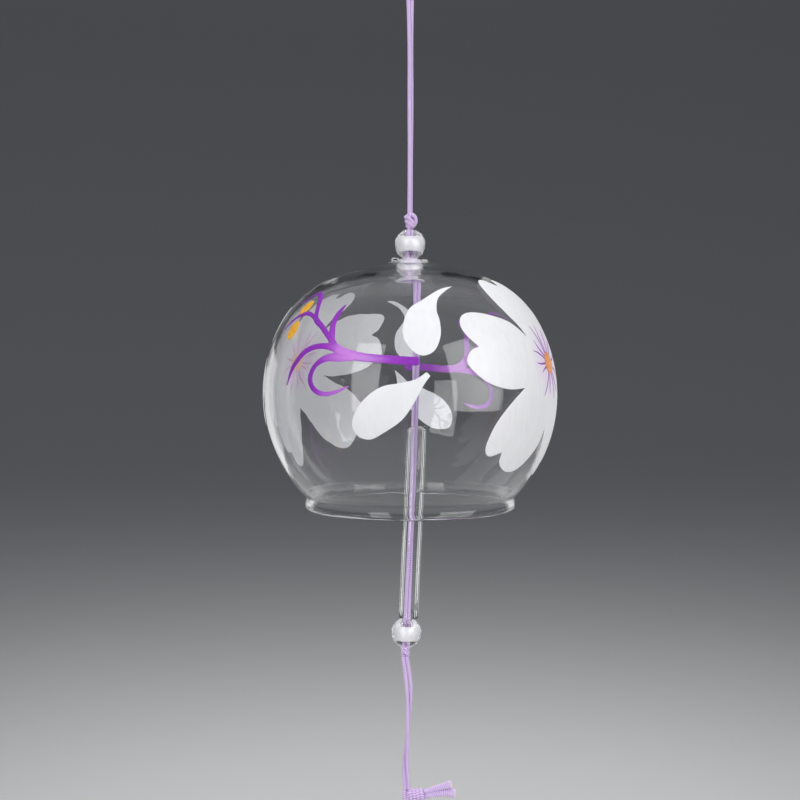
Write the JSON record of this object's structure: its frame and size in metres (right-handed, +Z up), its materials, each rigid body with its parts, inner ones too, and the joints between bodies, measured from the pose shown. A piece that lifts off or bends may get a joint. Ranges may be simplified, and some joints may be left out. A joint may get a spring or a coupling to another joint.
{
  "type": "glass wind bell",
  "caption": "Round blown-glass wind bell on a doubled cord, with a clear bead on its crown, a glass tube clapper and a plain paper strip below.",
  "frame": {"origin": "inside top of the hanging eye, where a hook bears", "axes": "+Z up along the bell's axis, +X to the right seen from the front, +Y away from the viewer"},
  "size_m": [0.08, 0.08, 0.367],
  "materials": {
    "cord": "round braided lilac cord, soft sheen",
    "bead_clear": "clear faceted bead, polished",
    "bead_white": "opaque white core, smooth",
    "bell_glass": "clear hand-blown glass with painted blossom",
    "stopper_clear": "clear moulded stopper, smooth",
    "tube_glass": "clear glass tube, fire-polished ends",
    "paper": "plain off-white washi paper, matte, faint fibres"
  },
  "bodies": {
    "hanger": {"hanging_loop": "cord"},
    "hang_cord": {"loop_knot": "cord", "hanging_strand_left": "cord", "hanging_strand_right": "cord"},
    "crown": {"upper_knot": "cord", "crown_cord": "cord", "inner_knot": "cord"},
    "upper_bead": {"upper_bead_shell": "bead_clear", "upper_bead_core": "bead_white"},
    "bell": {"glass_bell": "bell_glass"},
    "stopper": {"crown_stopper": "stopper_clear"},
    "clapper": {"clapper_strand_left": "cord", "clapper_strand_right": "cord", "lower_knot": "cord"},
    "tube": {"clapper_tube": "tube_glass"},
    "lower_bead": {"lower_bead_shell": "bead_clear", "lower_bead_core": "bead_white"},
    "tail": {"tail_strand_left": "cord", "tail_strand_right": "cord"},
    "strip_tie": {"strip_knot": "cord", "cut_end_upper": "cord", "cut_end_lower": "cord", "strip_loop": "cord"},
    "strip": {"paper_strip": "paper"}
  },
  "joints": [
    {"name": "cord_swing", "type": "hinge", "parent": "hanger", "child": "hang_cord", "pos_m": [0, 0, -0.014], "axis": [0, 1, 0], "range_deg": [-30, 30]},
    {"name": "bell_tilt", "type": "hinge", "parent": "hang_cord", "child": "crown", "pos_m": [0, 0, -0.0757], "axis": [1, 0, 0], "range_deg": [-30, 30]},
    {"name": "upper_bead_turn", "type": "hinge", "parent": "crown", "child": "upper_bead", "pos_m": [0, 0, -0.08482], "axis": [0, 0, 1], "continuous": true},
    {"name": "bell_turn", "type": "hinge", "parent": "crown", "child": "bell", "pos_m": [0, 0, -0.12577], "axis": [0, 0, 1], "continuous": true},
    {"name": "stopper_turn", "type": "hinge", "parent": "bell", "child": "stopper", "pos_m": [0, 0, -0.09097], "axis": [0, 0, 1], "continuous": true},
    {"name": "clapper_swing", "type": "hinge", "parent": "crown", "child": "clapper", "pos_m": [0.002, 0, -0.09371], "axis": [0, 1, 0], "range_deg": [-20.5, 21]},
    {"name": "tube_lift", "type": "slide", "parent": "clapper", "child": "tube", "axis": [0.0166, 0, 0.9999], "range_m": [0, 0.0398]},
    {"name": "lower_bead_turn", "type": "hinge", "parent": "clapper", "child": "lower_bead", "pos_m": [-0.00099, 0, -0.19161], "axis": [0.0436, 0, 0.999], "continuous": true},
    {"name": "tail_swing", "type": "hinge", "parent": "clapper", "child": "tail", "pos_m": [-0.00131, 0, -0.19896], "axis": [1, 0, 0], "range_deg": [-45, 45]},
    {"name": "strip_turn", "type": "hinge", "parent": "tail", "child": "strip_tie", "pos_m": [-0.00086, 0, -0.23556], "axis": [0, 0, 1], "continuous": true},
    {"name": "strip_swing", "type": "hinge", "parent": "strip_tie", "child": "strip", "pos_m": [-0.00206, 0, -0.25026], "axis": [0, 1, 0], "range_deg": [-20, 20]}
  ]
}
